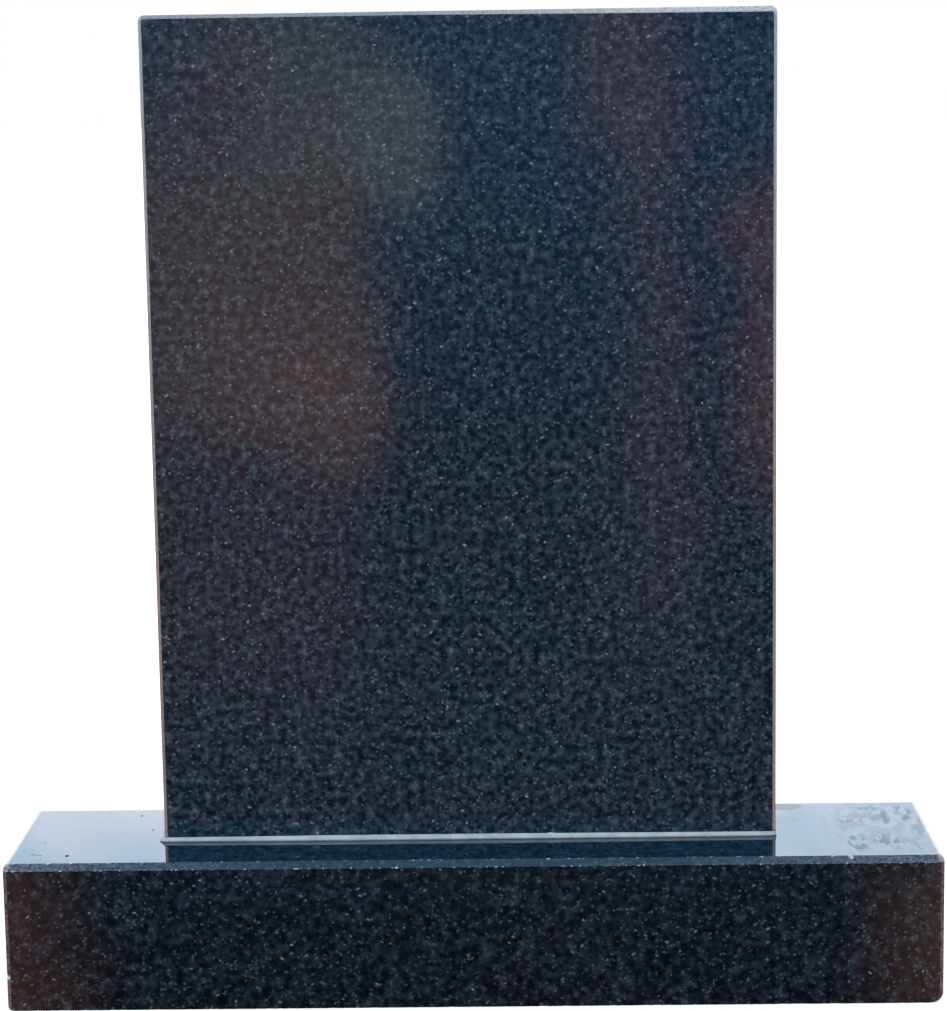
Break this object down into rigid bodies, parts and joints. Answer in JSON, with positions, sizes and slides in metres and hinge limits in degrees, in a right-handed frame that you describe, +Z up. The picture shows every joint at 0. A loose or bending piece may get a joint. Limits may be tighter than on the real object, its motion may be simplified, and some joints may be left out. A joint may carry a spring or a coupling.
{
  "type": "headstone",
  "caption": "Rectangular polished dark granite headstone tablet, blank, on a wider low base with a pale mortar bed.",
  "frame": {"origin": "middle of the base's underside, where the headstone rests on its foundation", "axes": "+Z up, +X to the viewer's right across the width, and the polished front faces -Y"},
  "size_m": [0.9, 0.2, 0.945],
  "materials": {
    "polished_granite": "polished",
    "setting_mortar": "matte"
  },
  "bodies": {
    "root": {"base": "polished_granite", "setting_bed": "setting_mortar", "tablet": "polished_granite"}
  },
  "joints": []
}
